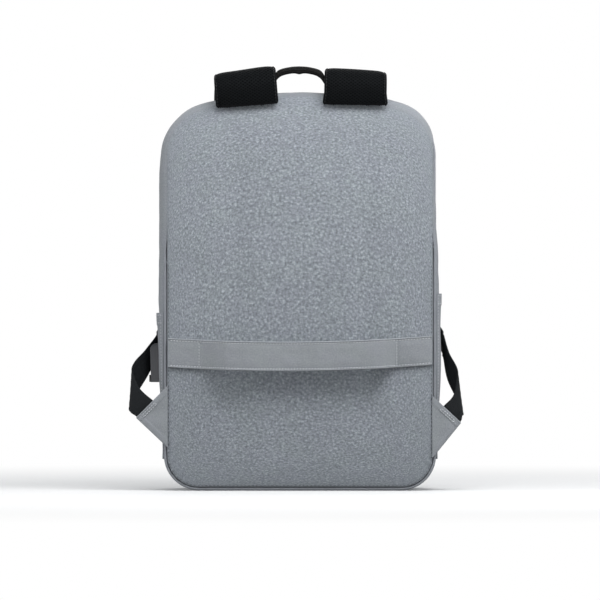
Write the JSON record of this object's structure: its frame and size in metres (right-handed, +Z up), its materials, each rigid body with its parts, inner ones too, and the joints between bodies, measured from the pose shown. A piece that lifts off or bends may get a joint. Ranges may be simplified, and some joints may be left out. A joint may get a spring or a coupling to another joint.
{
  "type": "laptop backpack",
  "caption": "Slim laptop backpack with padded back panel, luggage strap, mesh shoulder straps laid over the top, side pockets and a port cover.",
  "frame": {"origin": "centre of the flat base, on the surface that the bag stands on", "axes": "+Z up, -Y out of the back panel that the wearer's back meets, +X to the right when looking at the back panel"},
  "size_m": [0.3702, 0.167, 0.4589],
  "materials": {
    "cloth": "pebbled grey polyester, matt",
    "piping": "plain woven grey binding",
    "strap_cloth": "smooth grey cloth, edge stitched",
    "strap_mesh": "black spacer mesh with small holes",
    "webbing": "charcoal ribbed nylon webbing",
    "zip_tape": "black zip tape with nylon coil",
    "zip_metal": "dark satin metal",
    "port_plastic": "dark grey moulded plastic, satin",
    "buckle_plastic": "black moulded plastic"
  },
  "bodies": {
    "root": {"back_panel": "cloth", "back_piping": "piping", "front_piping": "piping", "base_gusset": "cloth", "rear_gusset": "cloth", "front_gusset": "cloth", "main_zipper": "zip_tape", "zip_slider_left": "zip_metal", "zip_slider_right": "zip_metal", "front_panel": "cloth", "side_pocket_left": "cloth", "side_pocket_right": "cloth", "usb_housing": "port_plastic", "luggage_strap": "strap_cloth", "shoulder_strap_left": "strap_mesh", "shoulder_strap_right": "strap_mesh", "strap_loop_left": "webbing", "strap_loop_right": "webbing", "ladder_lock_left": "buckle_plastic", "ladder_lock_right": "buckle_plastic", "strap_webbing_left": "webbing", "strap_webbing_right": "webbing", "webbing_tab_left": "strap_cloth", "webbing_tab_right": "strap_cloth", "grab_handle": "webbing"}
  },
  "joints": []
}
